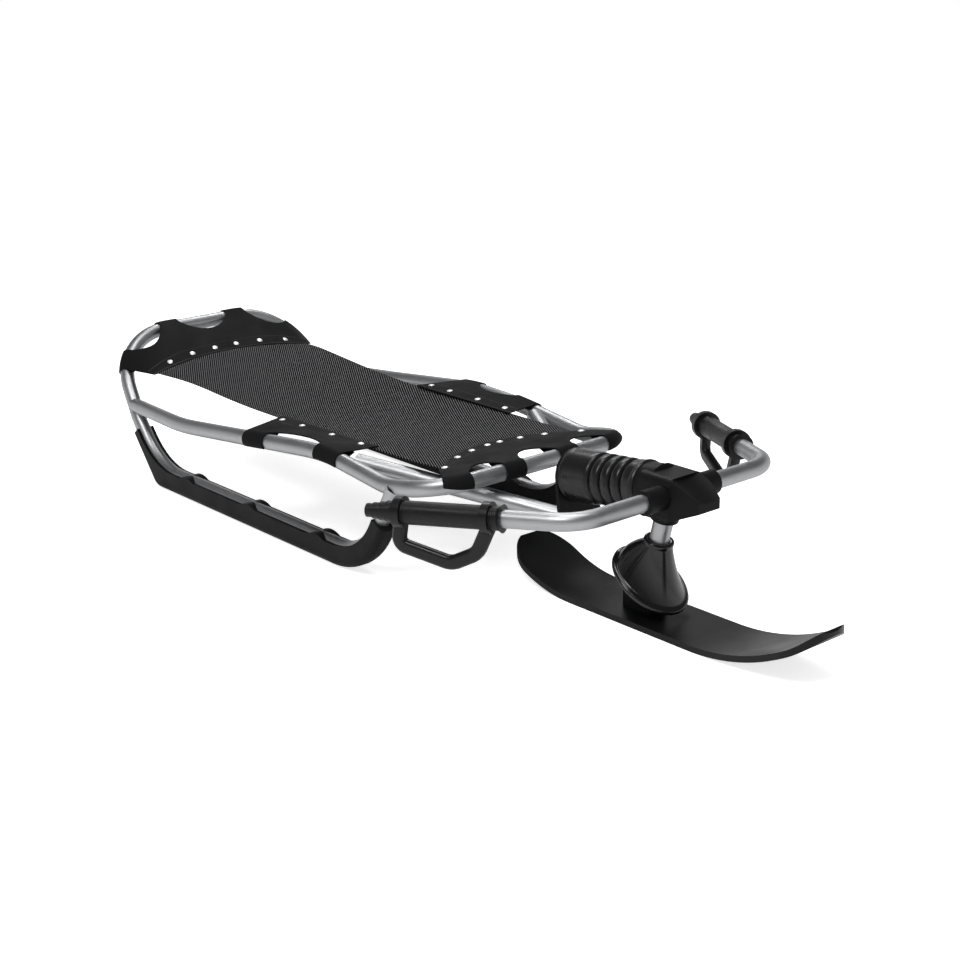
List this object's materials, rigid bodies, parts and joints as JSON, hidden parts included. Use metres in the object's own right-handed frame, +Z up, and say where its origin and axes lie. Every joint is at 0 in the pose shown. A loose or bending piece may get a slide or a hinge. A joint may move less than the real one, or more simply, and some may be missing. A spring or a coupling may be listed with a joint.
{
  "type": "steerable sled",
  "caption": "Low steerable snow sled: bent aluminium tube frame on runners, mesh sling seat, swept handlebar, leaning steering post and one wide front ski.",
  "frame": {"origin": "on the floor under the middle of the sled's length and width", "axes": "+X forward towards the ski, +Y to the rider's left, +Z up"},
  "size_m": [1.3411, 0.5852, 0.2201],
  "materials": {
    "tube": "satin brushed tube",
    "dark_steel": "black powder coat",
    "black_plastic": "satin black",
    "gloss_black": "gloss black",
    "ski_plastic": "satin black",
    "rubber": "matte black",
    "panel": "coated, slight grain",
    "mesh": "open ribbed mesh"
  },
  "bodies": {
    "frame": {"runner_tube": "tube", "side_tube": "tube", "strut_right": "tube", "strut_left": "tube", "head_stem": "dark_steel", "runner_cover_right": "black_plastic", "runner_cover_left": "black_plastic", "rear_panel": "panel", "side_panel_right": "panel", "side_panel_left": "panel", "front_panel": "panel", "seat_mesh": "mesh", "bellows": "rubber"},
    "steering": {"steering_post": "tube", "handlebar": "tube", "grip_right": "rubber", "grip_left": "rubber", "hand_guard_right": "black_plastic", "hand_guard_left": "black_plastic", "steering_housing": "black_plastic", "ski_boot": "gloss_black", "boot_hinge": "black_plastic", "ski": "ski_plastic"}
  },
  "joints": [
    {"name": "steering_turn", "type": "hinge", "parent": "frame", "child": "steering", "pos_m": [0.39855, 0, 0.103], "axis": [0.2588, 0, 0.9659], "range_deg": [-15, 15], "deforming": ["bellows"]}
  ]
}
